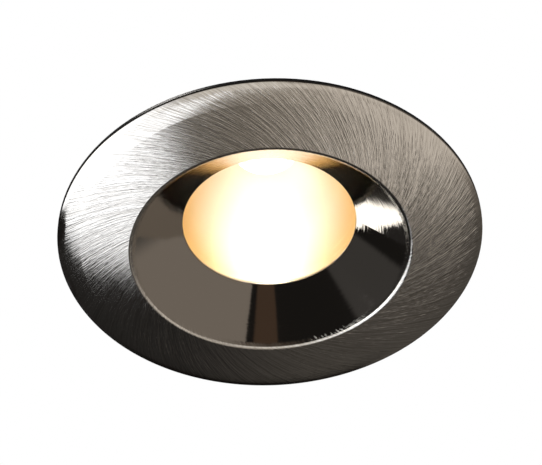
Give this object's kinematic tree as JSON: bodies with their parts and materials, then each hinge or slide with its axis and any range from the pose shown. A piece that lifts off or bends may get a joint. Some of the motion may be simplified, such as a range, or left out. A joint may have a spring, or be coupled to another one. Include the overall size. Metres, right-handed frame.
{
  "type": "soffit downlight",
  "caption": "Recessed round soffit downlight with a brushed conical trim ring, sealed glass, finned casting, sprung clips and a driver box with a cable gland.",
  "frame": {"origin": "centre of the plane where the gasket meets the soffit's lower face, on the light's axis", "axes": "+Z along the light's axis, up into the soffit; the light shines towards -Z; +Y towards the cable gland; the clips are on +X and -X"},
  "size_m": [0.1138, 0.0812, 0.074],
  "materials": {
    "brushed_nickel": "brushed across, polished on the inner cone",
    "foam": "closed-cell foam",
    "silicone": "soft",
    "glass": "clear",
    "anodised": "black anodised",
    "black_rubber": "matt",
    "satin_reflector": "satin",
    "zinc_steel": "zinc plated",
    "phosphor": "glows warm white",
    "ceramic_carrier": "matt white",
    "grey_pad": "soft",
    "white_moulding": "fine texture",
    "red_wire": "wire insulation",
    "black_wire": "wire insulation",
    "cast_aluminium": "die cast, blasted",
    "black_moulding": "fine texture",
    "green_board": "coated board",
    "green_moulding": "moulded",
    "tinned_brass": "tinned",
    "orange_moulding": "moulded",
    "ferrite": "sintered",
    "yellow_tape": "wound tape",
    "capacitor_sleeve": "shrink sleeve",
    "grey_moulding": "moulded",
    "blue_ceramic": "dipped",
    "spring_steel": "rolled sheet and wire"
  },
  "bodies": {
    "body": {"trim_ring": "brushed_nickel", "soffit_gasket": "foam", "lens_seal": "silicone", "lens_glass": "glass", "lens_clamp_ring": "anodised", "body_o_ring": "black_rubber", "reflector": "satin_reflector", "trim_screws": "zinc_steel", "led_phosphor": "phosphor", "led_board": "ceramic_carrier", "thermal_pad": "grey_pad", "led_holder": "white_moulding", "led_holder_screws": "zinc_steel", "led_lead_positive": "red_wire", "led_lead_negative": "black_wire", "lead_grommet": "black_rubber", "heat_sink": "cast_aluminium", "clip_screws": "zinc_steel", "driver_box": "black_moulding", "box_screws": "zinc_steel", "lid_seal": "silicone", "box_lid": "black_moulding", "lid_screws": "zinc_steel", "driver_board": "green_board", "driver_board_screws": "zinc_steel", "terminal_block": "green_moulding", "terminal_contacts": "tinned_brass", "transformer_core": "ferrite", "transformer_winding": "yellow_tape", "bulk_capacitor": "capacitor_sleeve", "film_capacitor": "grey_moulding", "input_choke": "ferrite", "input_fuse": "black_moulding", "bridge_rectifier": "black_moulding", "surge_varistor": "blue_ceramic", "gland_body": "black_moulding", "gland_washer": "black_rubber", "gland_seal": "black_rubber", "clip_bracket_right": "spring_steel", "clip_bracket_left": "spring_steel", "clip_pin_right": "zinc_steel", "clip_pin_left": "zinc_steel", "clip_spring_right": "spring_steel", "clip_spring_left": "spring_steel"},
    "clip_right": {"clip_arm_right": "spring_steel", "clip_foot_right": "black_rubber"},
    "clip_left": {"clip_arm_left": "spring_steel", "clip_foot_left": "black_rubber"},
    "button_live": {"terminal_button_live": "orange_moulding"},
    "button_neutral": {"terminal_button_neutral": "orange_moulding"},
    "button_earth": {"terminal_button_earth": "orange_moulding"},
    "gland_cap": {"gland_nut": "black_moulding"}
  },
  "joints": [
    {"name": "clip_right_fold", "type": "hinge", "parent": "body", "child": "clip_right", "pos_m": [0.0296, 0, 0.0155], "axis": [0, -1, 0], "range_deg": [0, 114], "stiffness_Nm_per_rad": 0.09, "springref_deg": -57.3, "deforming": ["clip_spring_right"]},
    {"name": "clip_left_fold", "type": "hinge", "parent": "body", "child": "clip_left", "pos_m": [-0.0296, 0, 0.0155], "axis": [0, 1, 0], "range_deg": [0, 114], "stiffness_Nm_per_rad": 0.09, "springref_deg": -57.3, "deforming": ["clip_spring_left"]},
    {"name": "button_live_press", "type": "slide", "parent": "body", "child": "button_live", "axis": [0, 0, -1], "range_m": [0, 0.0012], "stiffness_N_per_m": 1500, "springref_m": -0.0008},
    {"name": "button_neutral_press", "type": "slide", "parent": "body", "child": "button_neutral", "axis": [0, 0, -1], "range_m": [0, 0.0012], "stiffness_N_per_m": 1500, "springref_m": -0.0008},
    {"name": "button_earth_press", "type": "slide", "parent": "body", "child": "button_earth", "axis": [0, 0, -1], "range_m": [0, 0.0012], "stiffness_N_per_m": 1500, "springref_m": -0.0008},
    {"name": "gland_nut_turn", "type": "hinge", "parent": "body", "child": "gland_cap", "pos_m": [0, 0.025, 0.05645], "axis": [0, 1, 0], "range_deg": [-360, 0]}
  ]
}
